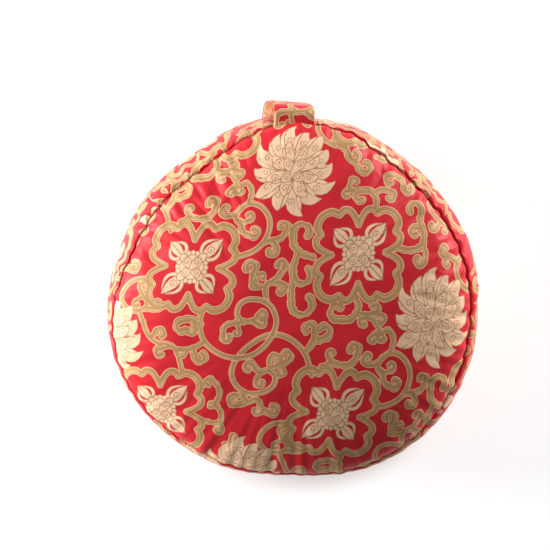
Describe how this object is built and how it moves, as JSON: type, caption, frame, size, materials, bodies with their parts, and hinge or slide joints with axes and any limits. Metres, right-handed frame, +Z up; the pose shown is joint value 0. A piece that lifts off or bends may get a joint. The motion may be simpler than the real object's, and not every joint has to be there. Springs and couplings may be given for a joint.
{
  "type": "meditation cushion",
  "caption": "Round filled meditation cushion with a crowned face, a pleated side band and a strap loop for carrying, lying on its back.",
  "frame": {"origin": "middle of the flat resting face, on the floor", "axes": "+Z up out of the crowned face, +Y towards the carrying loop, +X towards the right of the face as seen with the loop at the top"},
  "size_m": [0.3362, 0.3331, 0.164],
  "materials": {
    "brocade": "satin weave brocade, red ground with raised gold and cream figures",
    "strap_brocade": "the same brocade folded into a strap"
  },
  "bodies": {
    "root": {"cushion": "brocade", "handle": "strap_brocade"}
  },
  "joints": []
}
